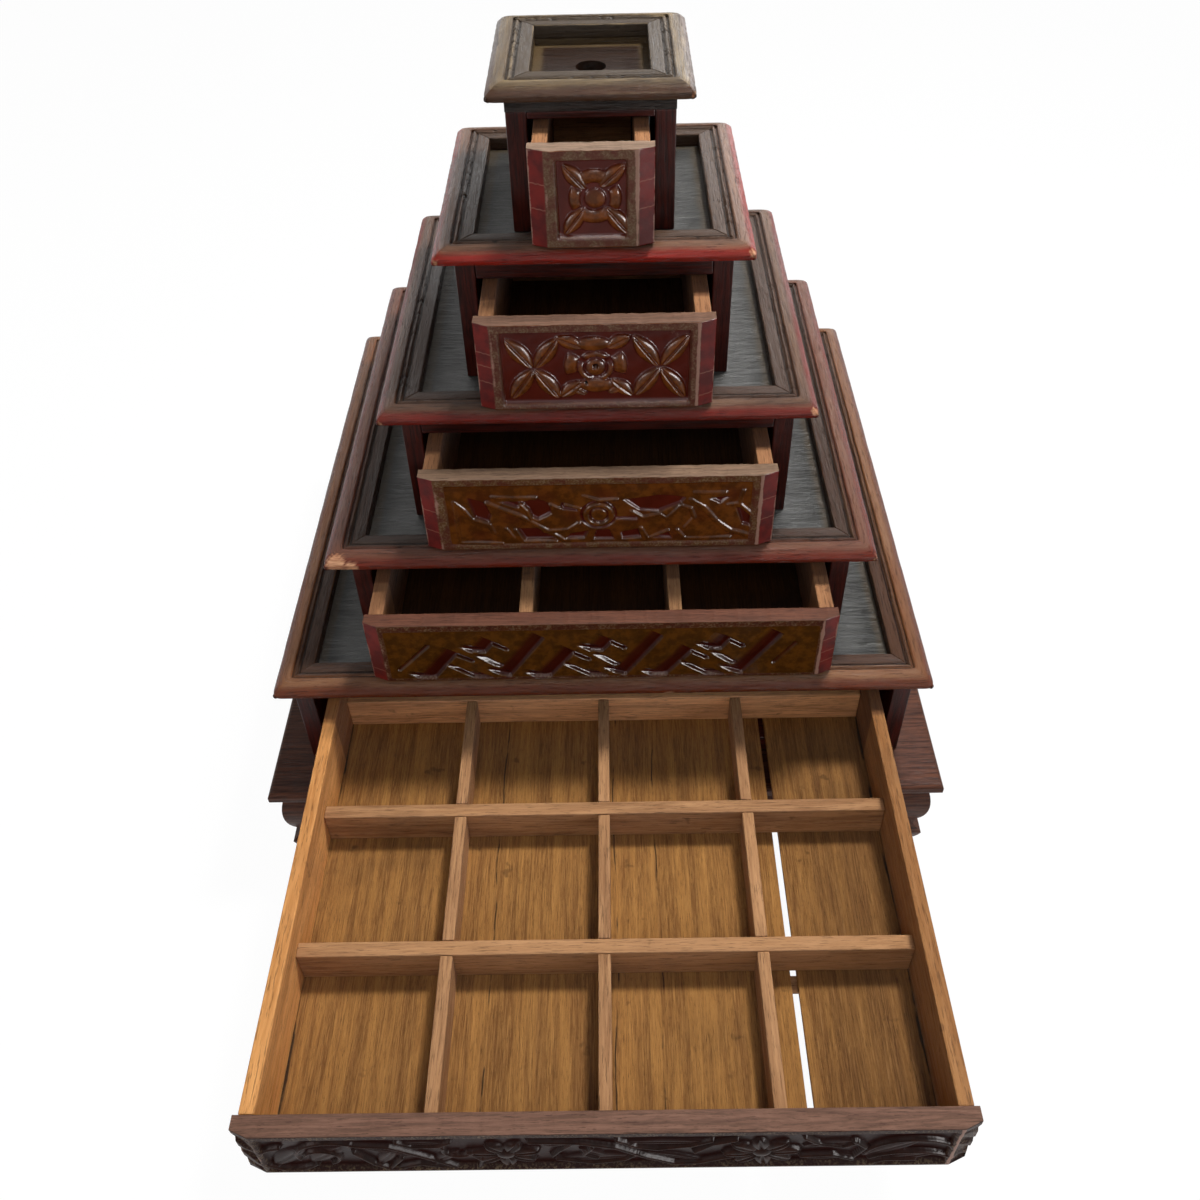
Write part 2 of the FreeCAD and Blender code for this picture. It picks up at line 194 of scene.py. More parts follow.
def feed(tree, socket, source):
    """Gives an input a value, or links it."""
    if isinstance(source, (tuple, int, float)):
        socket.default_value = source
    else:
        tree.links.new(source, socket)


def noise(tree, vector, scale, detail=3.0, rough=0.55):
    """Value of a noise texture read at a vector."""
    node = put(tree, "ShaderNodeTexNoise", {"Vector": vector}, Scale=scale, Detail=detail, Roughness=rough)
    return node.outputs["Fac"]


def ramp(tree, value, low, high, to_low=0.0, to_high=1.0):
    """The value mapped smoothly from one span to another and held at the ends."""
    node = put(tree, "ShaderNodeMapRange", {"Value": value}, interpolation_type="SMOOTHSTEP",
               From_Min=low, From_Max=high, To_Min=to_low, To_Max=to_high)
    return node.outputs["Result"]


def maths(tree, operation, a, b=0.0):
    """One arithmetic step on values or sockets."""
    return put(tree, "ShaderNodeMath", {0: a, 1: b}, operation=operation).outputs[0]


def times(tree, a, b):
    """Product."""
    return maths(tree, "MULTIPLY", a, b)


def plus(tree, a, b):
    """Sum."""
    return maths(tree, "ADD", a, b)


def minus(tree, a, b):
    """Difference."""
    return maths(tree, "SUBTRACT", a, b)


def blend(tree, share, first, second, how="MIX"):
    """Mix of two colours, each a socket or a colour. The share is a value, or a value and a
    number that it is multiplied by."""
    if isinstance(share, tuple):
        share = times(tree, *share)
    node = put(tree, "ShaderNodeMix", data_type="RGBA", blend_type=how)
    for socket, source in zip([s for s in node.inputs if s.enabled], (share, first, second)):
        feed(tree, socket, source)
    return [s for s in node.outputs if s.enabled][0]


def grain_group():
    """Long wood grain. Vector is scaled so that grain runs where it is short."""
    group, start, end = new_group("wood_grain", [("Vector", "NodeSocketVector")],
                                  ["Tone", "Pores", "Bands", "Broad"])
    vector = start.outputs["Vector"]
    warp = noise(group, vector, 0.8, 2.0)
    shifted = put(group, "ShaderNodeVectorMath", {0: vector, 1: warp}, operation="ADD").outputs[0]
    tone = noise(group, shifted, 4.5, 6.0, 0.72)
    pores = ramp(group, noise(group, vector, 13.0, 3.0, 0.7), 0.54, 0.66)
    bands = noise(group, shifted, 1.4, 3.0, 0.5)
    group.links.new(ramp(group, tone, 0.32, 0.68), end.inputs["Tone"])
    group.links.new(pores, end.inputs["Pores"])
    group.links.new(ramp(group, bands, 0.35, 0.65), end.inputs["Bands"])
    group.links.new(noise(group, vector, 0.45, 3.0, 0.6), end.inputs["Broad"])
    return group


def wear_group():
    """Where lacquer is rubbed off: patches strongest where Edge is high."""
    group, start, end = new_group("edge_wear", [("Vector", "NodeSocketVector"),
                                                ("Edge", "NodeSocketFloat")], ["Rubbed", "Dust"])
    vector = start.outputs["Vector"]
    patch = noise(group, vector, 55.0, 6.0, 0.7)
    level = plus(group, patch, times(group, start.outputs["Edge"], 0.34))
    group.links.new(ramp(group, level, 0.66, 0.84), end.inputs["Rubbed"])
    dust = ramp(group, noise(group, vector, 14.0, 5.0, 0.65), 0.42, 0.72)
    group.links.new(dust, end.inputs["Dust"])
    return group


GRAIN, WEAR = grain_group(), wear_group()
ALONG = {"x": (0.06, 1.0, 1.0), "y": (1.0, 0.06, 1.0), "z": (1.0, 1.0, 0.06)}
GRAIN_SIZE = 110.0


def start_material(name, axis, offset, fine=1.0, straight=1.0, along=None):
    """A material with its shader, object coordinates and wood grain, which lies along an axis,
    or along the first number of a vector that the mesh holds."""
    material = bpy.data.materials.new(name)
    material.use_nodes = True
    tree = material.node_tree
    shader = tree.nodes["Principled BSDF"]
    coords = tree.nodes.new("ShaderNodeTexCoord")
    scale = [GRAIN_SIZE * fine * (s if s == 1 else s / straight) for s in ALONG[axis]]
    source = coords.outputs["Object"]
    if along:
        source = attribute(tree, along, "Vector")
    stretch = put(tree, "ShaderNodeMapping", {"Vector": source}, Scale=scale,
                  Location=(offset, offset * 1.7, offset * 0.6))
    grain = use_group(tree, GRAIN, {"Vector": stretch.outputs["Vector"]})
    return material, tree, shader, coords.outputs["Object"], grain


def use_group(tree, group, links):
    """A shader group placed in a material."""
    return put(tree, "ShaderNodeGroup", links, node_tree=group).outputs


def attribute(tree, name, kind="Fac"):
    """A number that the mesh holds at each point, or a vector."""
    return put(tree, "ShaderNodeAttribute", attribute_name=name).outputs[kind]


def dress(tree, shader, colour, rough, specular, height, strength, depth=0.0004):
    """Gives a shader its colour, roughness and shine, and small relief from a height value."""
    tree.links.new(colour, shader.inputs["Base Color"])
    tree.links.new(rough, shader.inputs["Roughness"])
    shader.inputs["Specular IOR Level"].default_value = specular
    relief = put(tree, "ShaderNodeBump", {"Height": height}, Strength=strength, Distance=depth)
    tree.links.new(relief.outputs["Normal"], shader.inputs["Normal"])


def bare_wood(name, light, dark, axis, age_and_painted_light_line=None, offset=0.0, right_shade=0.0, fine=1.0,
              straight=1.0, age_and_painted_light_tint=srgb(186, 176, 172), cracks=(), shade_from=0.0):
    """Unfinished wood: streaks, pores and bands; behind a line a tint of age, which is also painted shade
    on upper floors and painted light on the rear divider; dark lines along given X for cracks, and for
    painted shade where a floor meets a side wall; and painted shade towards the right hand side where told."""
    material, tree, shader, place, grain = start_material(name, axis, offset, fine, straight)
    colour = blend(tree, grain["Tone"], dark, light)
    colour = blend(tree, (grain["Bands"], 0.4), colour, dark)
    broad = ramp(tree, grain["Broad"], 0.4, 0.65, 0.0, 0.45)
    colour = blend(tree, broad, colour, scaled(light, 1.35))
    pore = scaled(dark, 0.3)
    colour = blend(tree, (grain["Pores"], 0.6), colour, pore)
    stain = ramp(tree, noise(tree, place, 11.0, 5.0, 0.65), 0.55, 0.72)
    colour = blend(tree, (stain, 0.25), colour, pore)
    blot = ramp(tree, noise(tree, place, 70.0, 3.0, 0.6), 0.66, 0.74)
    colour = blend(tree, (blot, 0.5), colour, pore)
    parts = put(tree, "ShaderNodeSeparateXYZ", {"Vector": place}).outputs
    wander = times(tree, minus(tree, noise(tree, place, 9.0, 4.0), 0.5), 0.012)
    # Dark lines along given X: real cracks, and painted shade where a floor meets a side wall.
    for x, half_width in cracks:
        away = maths(tree, "ABSOLUTE", minus(tree, plus(tree, parts["X"], wander), x))
        line = ramp(tree, away, 0.3 * half_width, half_width, 0.9, 0.0)
        broken = ramp(tree, noise(tree, place, 45.0, 3.0), 0.4, 0.55)
        colour = blend(tree, times(tree, line, broken), colour, srgb(34, 22, 12))
    # Behind the line: a tint of age on sides and backs, with painted shade on upper floors and painted
    # light on the rear divider.
    if age_and_painted_light_line is not None:
        ragged = plus(tree, parts["Y"], times(tree, noise(tree, place, 60.0), 0.004))
        inside = ramp(tree, ragged, age_and_painted_light_line, age_and_painted_light_line + 0.003)
        colour = blend(tree, (inside, 0.95), colour, age_and_painted_light_tint, "MULTIPLY")
    # Painted shade: the wood is darkened towards the right hand side, where the light falls off.
    if right_shade:
        right = ramp(tree, parts["X"], shade_from, shade_from + 0.05, 0.0, right_shade)
        colour = blend(tree, right, colour, srgb(150, 146, 152), "MULTIPLY")
    rough = ramp(tree, grain["Tone"], 0.0, 1.0, 0.78, 0.6)
    dress(tree, shader, colour, rough, 0.15, minus(tree, grain["Tone"], grain["Pores"]), 0.5)
    return material


def lacquer(name, deep, warm, axis, gloss, dust, offset, specular=0.12):
    """Old lacquer over grain: brushed tone and grey dust in patches."""
    material, tree, shader, place, grain = start_material(name, axis, offset)
    worn = use_group(tree, WEAR, {"Vector": place})
    colour = blend(tree, grain["Tone"], deep, warm)
    grey = tuple(c * 0.6 + 0.018 for c in warm[:3]) + (1.0,)
    colour = blend(tree, times(tree, worn["Dust"], dust), colour, grey)
    dark = scaled(deep, 0.3)
    colour = blend(tree, (grain["Pores"], 0.6), colour, dark)
    rough = ramp(tree, worn["Dust"], 0.0, 1.0, gloss, gloss + 0.22)
    height = minus(tree, times(tree, grain["Tone"], 0.6), grain["Pores"])
    dress(tree, shader, colour, rough, specular, height, 0.3)
    return material


def moulding_lacquer(name, nose, slope, streak, inner, rub, offset):
    """Lacquer of a cornice: redder at the nose, rubbed in long streaks over the slope, with painted shade
    in the grooves and nicks, dark at the mitres, and with bare wood where a chip came off."""
    material, tree, shader, _, grain = start_material(name, "x", offset, along="run")
    streaks = put(tree, "ShaderNodeMapping", {"Vector": attribute(tree, "run", "Vector")},
                  Scale=(0.35, 3.5, 3.5), Location=(offset, offset, 0.0))
    worn = use_group(tree, WEAR, {"Vector": streaks.outputs["Vector"], "Edge": attribute(tree, "wear")})
    across = attribute(tree, "across")
    colour = blend(tree, ramp(tree, across, 0.06, 0.26), nose, slope)
    colour = blend(tree, ramp(tree, across, 0.50, 0.56), colour, inner)
    shade = scaled(slope, 0.5)
    colour = blend(tree, ramp(tree, grain["Tone"], 0.0, 1.0, 0.35, 0.0), colour, shade)
    rubbed = times(tree, worn["Rubbed"], ramp(tree, grain["Bands"], 0.0, 1.0, 0.3 * rub, rub))
    rubbed = times(tree, rubbed, ramp(tree, across, 0.02, 0.2, 0.35, 1.0))
    colour = blend(tree, rubbed, colour, streak)
    colour = blend(tree, (grain["Pores"], 0.5), colour, srgb(20, 10, 8))
    # Painted shade: grooves and nicks darkened nearly to black.
    colour = blend(tree, (attribute(tree, "sunk"), 0.85), colour, srgb(14, 9, 7))
    crumb = blend(tree, grain["Tone"], srgb(160, 98, 68), srgb(220, 170, 130))
    colour = blend(tree, attribute(tree, "chip"), colour, crumb)
    rough = ramp(tree, worn["Dust"], 0.0, 1.0, 0.24, 0.46)
    height = minus(tree, times(tree, grain["Tone"], 0.7), grain["Pores"])
    dress(tree, shader, colour, rough, 0.085, height, 0.6, 0.0005)
    return material


def tray_panel(name, half_x, half_y, dust, deep, light, rim, specular):
    """Grey-black panel: fine cracks across it and a dusty olive band along the frame."""
    material, tree, shader, place, grain = start_material(name, "x", half_x * 90)
    worn = use_group(tree, WEAR, {"Vector": place})
    colour = blend(tree, grain["Tone"], deep, light)
    dusty = plus(tree, times(tree, worn["Dust"], 0.35), dust)
    colour = blend(tree, dusty, colour, srgb(70, 69, 66))
    parts = put(tree, "ShaderNodeSeparateXYZ", {"Vector": place}).outputs
    across = minus(tree, maths(tree, "ABSOLUTE", parts["X"]), half_x)
    away = maths(tree, "ABSOLUTE", minus(tree, parts["Y"], MIDDLE_Y))
    along = minus(tree, away, half_y)
    near = maths(tree, "MAXIMUM", across, along)
    near = plus(tree, near, times(tree, noise(tree, place, 70.0), 0.004))
    band = ramp(tree, near, -0.0045, -0.001)
    band = times(tree, band, ramp(tree, near, 0.0035, 0.005, 0.75, 0.0))
    colour = blend(tree, band, colour, rim)
    colour = blend(tree, (grain["Pores"], 0.7), colour, srgb(16, 15, 15))
    rough = ramp(tree, worn["Dust"], 0.0, 1.0, 0.3, 0.5)
    dress(tree, shader, colour, rough, specular, minus(tree, grain["Tone"], grain["Pores"]), 0.6, 0.0005)
    return material


def carved_finish(name, ground, relief, border, top, offset, specular, gloss):
    """Drawer front: varnished carving, red lacquered cants with pale cracks, bare top edge."""
    material, tree, shader, place, grain = start_material(name, "x", offset)
    worn = use_group(tree, WEAR, {"Vector": place, "Edge": attribute(tree, "wear")})
    mottle = noise(tree, place, 160.0, 4.0, 0.65)
    tone = blend(tree, ramp(tree, mottle, 0.38, 0.64), scaled(relief, 0.5), relief)
    field = blend(tree, noise(tree, place, 60.0, 4.0), scaled(ground, 0.5), scaled(ground, 1.6))
    colour = blend(tree, attribute(tree, "relief"), field, tone)
    speck = noise(tree, place, 900.0, 2.0)
    edge_tone = blend(tree, ramp(tree, speck, 0.46, 0.62, 0.0, 0.5), border, srgb(132, 112, 88))
    edge_tone = blend(tree, ramp(tree, mottle, 0.38, 0.62, 0.0, 0.75), edge_tone, ground)
    ragged = plus(tree, attribute(tree, "border"), times(tree, minus(tree, mottle, 0.5), 1.6))
    colour = blend(tree, ramp(tree, ragged, 0.3, 0.8), colour, edge_tone)
    cloudy = ramp(tree, noise(tree, place, 90.0, 5.0), 0.35, 0.65)
    red = blend(tree, cloudy, srgb(80, 9, 5), srgb(116, 22, 14))
    red = blend(tree, attribute(tree, "crack"), red, srgb(190, 132, 110))
    colour = blend(tree, attribute(tree, "cant"), colour, red)
    # Pale rubbed patches along the edges: wear, and a painted highlight.
    colour = blend(tree, (worn["Rubbed"], 0.75), colour, srgb(172, 134, 118))
    wood = blend(tree, grain["Tone"], scaled(top, 0.5), top)
    wood = blend(tree, (grain["Pores"], 0.6), wood, scaled(top, 0.2))
    bare = attribute(tree, "bare")
    colour = blend(tree, bare, colour, wood)
    # Painted shade: the holes darkened nearly to black.
    colour = blend(tree, attribute(tree, "hole_shade"), colour, srgb(12, 7, 5))
    shine = maths(tree, "MAXIMUM", ramp(tree, bare, 0.0, 1.0, gloss, 0.66),
                  ramp(tree, attribute(tree, "border"), 0.0, 1.0, gloss, 0.4))
    rough = plus(tree, shine, times(tree, worn["Dust"], 0.12))
    dress(tree, shader, colour, rough, specular, plus(tree, mottle, times(tree, speck, 0.25)), 0.4)
    return material


# Surfaces

def mesh_of(name, points, faces, values=None, smooth=True):
    """A mesh from arrays of points and of triangle or quad corners, with point values."""
    mesh = bpy.data.meshes.new(name)
    mesh.vertices.add(len(points))
    mesh.vertices.foreach_set("co", points.astype(np.float32).ravel())
    total = sum(f.size for f in faces)
    mesh.loops.add(total)
    mesh.loops.foreach_set("vertex_index", np.concatenate([f.ravel() for f in faces]).astype(np.int32))
    sizes = np.concatenate([np.full(len(f), f.shape[1]) for f in faces])
    mesh.polygons.add(len(sizes))
    starts = np.concatenate([[0], np.cumsum(sizes)[:-1]])
    mesh.polygons.foreach_set("loop_start", starts.astype(np.int32))
    mesh.update(calc_edges=True)
    mesh.validate()
    mesh.polygons.foreach_set("use_smooth", np.full(len(mesh.polygons), smooth))
    for key, value in (values or {}).items():
        several = value.ndim == 2 and value.shape[1] == 3
        layer = mesh.attributes.new(key, "FLOAT_VECTOR" if several else "FLOAT", "POINT")
        layer.data.foreach_set("vector" if several else "value", value.astype(np.float32).ravel())
    return mesh


def grid_faces(rows, columns, wrap_rows):
    """Quads of a grid of points that closes on itself across, and along if wrap_rows."""
    r = np.arange(rows if wrap_rows else rows - 1)[:, None]
    c = np.arange(columns)[None, :]
    a = r * columns + c
    b = r * columns + (c + 1) % columns
    up = (r + 1) % rows
    return np.stack([a, up * columns + c, up * columns + (c + 1) % columns, b], -1).reshape(-1, 4)


def show(name, mesh, material, body, node):
    """Put a finished mesh in the scene, on its body and in place of its CAD node."""
    piece = add(bpy.data.objects.new(name, mesh))
    mesh.materials.append(material)
    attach(piece, body)
    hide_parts(node)
    return piece


def solid_boxes(node):
    """Lowest and highest corners of each plain board of a CAD node: twelve triangles each."""
    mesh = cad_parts[node].data
    points = np.zeros(len(mesh.vertices) * 3, np.float32)
    mesh.vertices.foreach_get("co", points)
    corner = np.zeros(len(mesh.loops), np.int32)
    mesh.loops.foreach_get("vertex_index", corner)
    by_board = points.reshape(-1, 3)[corner].reshape(-1, 36, 3)
    return by_board.min(1), by_board.max(1)


BOARD_CORNERS = np.array([(x, y, z) for z in (0, 1) for y in (0, 1) for x in (0, 1)], float)
BOARD_FACES = np.array([(0, 2, 3, 1), (4, 5, 7, 6), (0, 1, 5, 4), (2, 6, 7, 3), (0, 4, 6, 2), (1, 3, 7, 5)])


def boards(name, node, material, body, soften=0.6 * MM, uneven=0.25 * MM, seed=0):
    """Boards of a CAD node with softened edges and corners that are a little off square. Each
    is its CAD box with every corner moved inwards by a small seeded amount, then bevelled."""
    low, high = solid_boxes(node)
    rng = np.random.default_rng(seed + 17)
    points = low[:, None, :] + (high - low)[:, None, :] * BOARD_CORNERS[None]
    inwards = 1 - 2 * BOARD_CORNERS[None]
    points = points + inwards * rng.uniform(0, uneven, points.shape)
    count = len(low)
    faces = (BOARD_FACES[None] + 8 * np.arange(count)[:, None, None]).reshape(-1, 4)
    mesh = mesh_of(name, points.reshape(-1, 3), [faces], smooth=False)
    piece = show(name, mesh, material, body, node)
    edge = piece.modifiers.new("softened", "BEVEL")
    edge.width = soften
    edge.segments = 2
    edge.limit_method = "ANGLE"
    edge.harden_normals = False


# Cornice mouldings

SLOPE, TOP, MOULDING_WIDTH = 9.5, 8.0, 21.5
NICKED = (10.5, 13.8)
POINTS_PER_SIDE = 160
MOULDING = [
    # stretches of the section: inward and upward millimetres at its start and end, points, swell
    ((MOULDING_WIDTH, 0.0), (1.2, 0.0), 6, 0.0),
    ((1.2, 0.0), (0.0, 1.4), 5, 0.35),
    ((0.0, 1.4), (0.1, 3.2), 4, 0.1),
    ((0.1, 3.2), (SLOPE - 0.4, TOP - 0.1), 18, 1.25),
    ((SLOPE - 0.4, TOP - 0.1), (SLOPE + 0.5, TOP - 1.3), 4, 0.15),
    ((SLOPE + 0.5, TOP - 1.3), (10.9, TOP - 1.2), 3, 0.0),
    ((10.9, TOP - 1.2), (13.2, TOP - 1.2), 10, 1.1),
    ((13.2, TOP - 1.2), (14.3, TOP - 1.3), 3, 0.0),
    ((14.3, TOP - 1.3), (15.0, TOP - 0.7), 4, 0.15),
    ((15.0, TOP - 0.7), (20.6, TOP - 0.6), 6, 0.1),
    ((20.6, TOP - 0.6), (MOULDING_WIDTH, TOP - 1.5), 5, 0.3),
    ((MOULDING_WIDTH, TOP - 1.5), (MOULDING_WIDTH, 0.0), 6, 0.0),
]


def moulding_section():
    """Closed section of the cornice: straight stretches, each swelled outwards by a half sine.
    Returns inward and upward millimetres, how exposed each point is to wear, and where the grooves get
    painted shade."""
    inward, upward, exposed = [], [], []
    for (u0, v0), (u1, v1), count, swell in MOULDING:
        t = np.arange(count) / count
        length = math.hypot(u1 - u0, v1 - v0)
        out_u, out_v = -(v1 - v0) / length, (u1 - u0) / length
        inward.append(u0 + (u1 - u0) * t + out_u * swell * np.sin(math.pi * t))
        upward.append(v0 + (v1 - v0) * t + out_v * swell * np.sin(math.pi * t))
        exposed.append(np.full(count, 0.15) + 0.55 * (swell > 0.2) * np.sin(math.pi * t))
    u, v, e = (np.concatenate(part) for part in (inward, upward, exposed))
    crest = bell(u - SLOPE + 1.5, 2.5) * (v > 2)
    grooves = [bell(u - middle, 0.6) * (v < TOP - 0.9) * (v > 2) for middle in (10.3, 13.9)]
    return u, v, np.clip(e + 0.5 * crest, 0, 1), np.maximum(*grooves)


def bell(x, width):
    """1 at 0, falling smoothly to both sides."""
    return np.exp(-(x / width) ** 2)


def arch(x):
    """Half circle: 1 at 0, down to 0 at -1 and 1."""
    return np.sqrt(np.clip(1 - x ** 2, 0, 1))


def smooth_step(x):
    """0 below 0, 1 above 1 and smooth between."""
    x = np.clip(x, 0, 1)
    return x * x * (3 - 2 * x)


def ripples(t, rng, waves, height):
    """A sum of sines of seeded phase along t in turns, never above height."""
    total = np.zeros_like(t)
    for wave in waves:
        total += np.sin(2 * math.pi * (wave * t + rng.uniform()))
    return height * total / len(waves)


def cornice(number, chips, material):
    """Mitred frame of moulding: the section is carried round a rectangle whose half sizes
    shrink by the inward distance, so the mitres meet. The line ripples a little, the corners
    are rubbed round, each mitre has a fine open seam, and chips are dents near a point."""
    node = "cornice_%d" % number
    low, high = (np.array(corner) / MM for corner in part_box(node))
    half = (high - low)[:2] / 2
    middle = (high + low)[:2] / 2
    u, v, exposed, sunk = moulding_section()
    t = np.arange(POINTS_PER_SIDE) / POINTS_PER_SIDE
    t = 0.5 - 0.5 * np.cos(math.pi * t) * (0.75 + 0.25 * np.cos(2 * math.pi * t))
    rng = np.random.default_rng(40 + number)
    rings, runs, nicks = [], [], []
    for side in range(4):
        reach, depth = half if side % 2 == 0 else half[::-1]
        shrink = np.abs(ripples(t[:, None] + 0 * u[None], rng, (2, 5, 11), 0.22))
        inward = u[None] + shrink * (v[None] > 0.2)
        from_end = np.minimum(t, 1 - t)[:, None] * 2 * reach
        rub = 1.1 * np.clip(1 - from_end / 5.0, 0, 1) ** 2 * (u[None] < SLOPE)
        along = (2 * t[:, None] - 1) * (reach - inward)
        inward_y = inward + rub
        seam = bell(from_end, 0.45)
        nick = np.zeros(along.shape)
        for place in rng.uniform(-0.9, 0.9, 9):
            strength = rng.uniform(0.3, 1.0)
            nick = nick + strength * bell(along - place * reach, 0.9)
        nick = np.clip(nick, 0, 1) * ((u > NICKED[0]) & (u < NICKED[1]))[None]
        nicks.append(nick)
        z = low[2] + v[None] - 0.5 * seam * (v[None] > 1.0) - 0.7 * nick
        across = -(depth - inward_y)
        turn = side * math.pi / 2
        x = along * math.cos(turn) - across * math.sin(turn)
        y = along * math.sin(turn) + across * math.cos(turn)
        rings.append(np.stack([x + middle[0], y + middle[1], np.minimum(z, high[2])], -1))
        runs.append(np.stack([along + 0 * u, 0 * along + u, 0 * along + v + 40 * side], -1))
    points = np.concatenate(rings)
    wear = np.broadcast_to(exposed, points.shape[:2]).copy()
    across = np.broadcast_to(u / MOULDING_WIDTH, wear.shape)
    # Painted shade in the grooves and in the nicks.
    sunk = np.maximum(np.broadcast_to(sunk, wear.shape), 0.8 * np.concatenate(nicks))
    chip = np.zeros(points.shape[:2])
    heart = np.array([middle[0], middle[1], low[2] + 2])
    for place, radius, depth in chips:
        centre = np.append(middle + np.array(place[:2]) * half, low[2] + place[2])
        rough = 1 + 0.25 * np.sin(points[..., 0] * 2.1) * np.sin(points[..., 1] * 1.7 + points[..., 2])
        distance = np.linalg.norm(points - centre, axis=-1) / (radius * rough)
        dent = np.clip(1 - distance, 0, 1)
        pull = heart - points
        pull /= np.linalg.norm(pull, axis=-1, keepdims=True)
        points = points + pull * (depth * dent ** 0.6)[..., None]
        chip = np.maximum(chip, np.clip(dent * 3.0, 0, 1))
    rows, columns = points.shape[:2]
    faces = grid_faces(rows, columns, True)
    mesh = mesh_of("moulding_%d" % number, points.reshape(-1, 3) * MM, [faces],
                   {"wear": wear, "chip": chip, "across": across, "sunk": sunk,
                    "run": np.concatenate(runs).reshape(-1, 3) * MM})
    show("moulding_%d" % number, mesh, material, "chest", node)


# Carving: every function takes the face's X and Z in millimetres and gives raised millimetres

def ridge(X, Z, points, width, height):
    """Rounded rib along a broken line: height falls as a quarter circle of the distance."""
    nearest = np.full(X.shape, 1e9)
    for (x0, z0), (x1, z1) in zip(points[:-1], points[1:]):
        dx, dz = x1 - x0, z1 - z0
        t = np.clip(((X - x0) * dx + (Z - z0) * dz) / (dx * dx + dz * dz), 0, 1)
        nearest = np.minimum(nearest, np.hypot(X - x0 - t * dx, Z - z0 - t * dz))
    return height * arch(nearest / width)


def dome(X, Z, x, z, rx, rz, height):
    """Half of a flattened ball on an ellipse."""
    return height * arch(np.hypot((X - x) / rx, (Z - z) / rz))


def leaf(X, Z, start, end, width, height, vein=0.5):
    """Pointed leaf between two points: crowned across, with a sunk middle vein."""
    x0, z0 = start
    length = math.hypot(end[0] - x0, end[1] - z0)
    c, s = (end[0] - x0) / length, (end[1] - z0) / length
    t = ((X - x0) * c + (Z - z0) * s) / length
    side = -(X - x0) * s + (Z - z0) * c
    reach = width * np.sin(math.pi * np.clip(t, 0.001, 0.999)) ** 0.75
    crown = arch(side / reach) * ((t > 0) & (t < 1))
    return height * crown * (1 - vein * bell(side, 0.16 * width))


def petal_ring(X, Z, x, z, inner, outer, turns, width, height):
    """Curved petals round a button: a rounded ring between two radii, cut up by narrow gaps
    at the given angles in degrees, each petal as wide as told."""
    radius = np.hypot(X - x, Z - z)
    angle = np.degrees(np.arctan2(Z - z, X - x))
    across = (2 * radius - inner - outer) / (outer - inner)
    rise = np.zeros(X.shape)
    for turn, reach in zip(turns, width):
        off = np.abs((angle - turn + 180) % 360 - 180) / reach
        rise = np.maximum(rise, np.clip(1 - off ** 4, 0, 1) * arch(across))
    return height * rise


def carve_top(X, Z):
    """A button in a ring of four broad petals, and a leaf to each corner."""
    layers = [
        dome(X, Z, 1.5, 1, 5.4, 5.4, 2.6) ** 0.6 * 1.1,
        petal_ring(X, Z, 1.0, 2.0, 7.2, 14.5, (90, 270), (40, 46), 2.7),
        petal_ring(X, Z, 1.5, 1.0, 7.4, 13.2, (0, 180), (34, 34), 2.5),
    ]
    for start, end, width in (((-3, 6), (-14, 19), 4.3), ((4, 7), (16.5, 18.5), 4.3),
                              ((7, -4), (18.5, -18.5), 4.6), ((-4, -4), (-14.5, -18.5), 4.3)):
        layers.append(leaf(X, Z, start, end, width, 2.8, 0.6))
    return np.maximum.reduce(layers)


def carve_fourth(X, Z):
    """A flower with curling leaves between two four-leaved crosses."""
    layers = [
        dome(X, Z, 0, 0.8, 5.4, 5.4, 2.6), dome(X, Z, 0.5, -10.5, 9.5, 4.6, 2.8),
        dome(X, Z, -1, 15.2, 9.0, 4.4, 2.8),
        petal_ring(X, Z, 0, 1, 6.2, 9.6, (90, 210, 330), (56, 52, 52), 1.9),
        petal_ring(X, Z, 0, 1, 9.4, 16.5, (8, 172), (28, 28), 2.7),
    ]
    for start, end, width in (((6, 13), (18, 19.5), 4.2), ((-6, 13), (-20, 19.5), 4.2),
                              ((8, -7), (19.5, -17.5), 4.2), ((-7, -8), (-19, -17.5), 4.2),
                              ((6, -15), (14, -12), 2.4), ((-5, -16), (-13, -12), 2.4)):
        layers.append(leaf(X, Z, start, end, width, 2.5, 0.45))
    for middle, tips in ((-32, ((-46, 19), (-19, 19), (-45, -18.5), (-19, -18.5))),
                         (33.5, ((19.5, 20), (48, 20), (20, -17.5), (47, -19.5)))):
        for x, z in tips:
            start = (middle + math.copysign(0.4, x - middle), 0.5 + math.copysign(0.4, z))
            layers.append(leaf(X, Z, start, (x, z), 4.9, 2.9, 0.65))
    return np.maximum.reduce(layers)


def pocket(X, Z, corners):
    """1 deep inside a convex outline and 0 outside it, by the distance to the nearest side."""
    turns = np.array(corners, float)
    if np.cross(turns[1] - turns[0], turns[2] - turns[1]) < 0:
        turns = turns[::-1]
    inside = np.full(X.shape, 1e9)
    for (x0, z0), (x1, z1) in zip(turns, np.roll(turns, -1, axis=0)):
        dx, dz = x1 - x0, z1 - z0
        inside = np.minimum(inside, ((Z - z0) * dx - (X - x0) * dz) / math.hypot(dx, dz))
    return smooth_step(inside / 1.8)


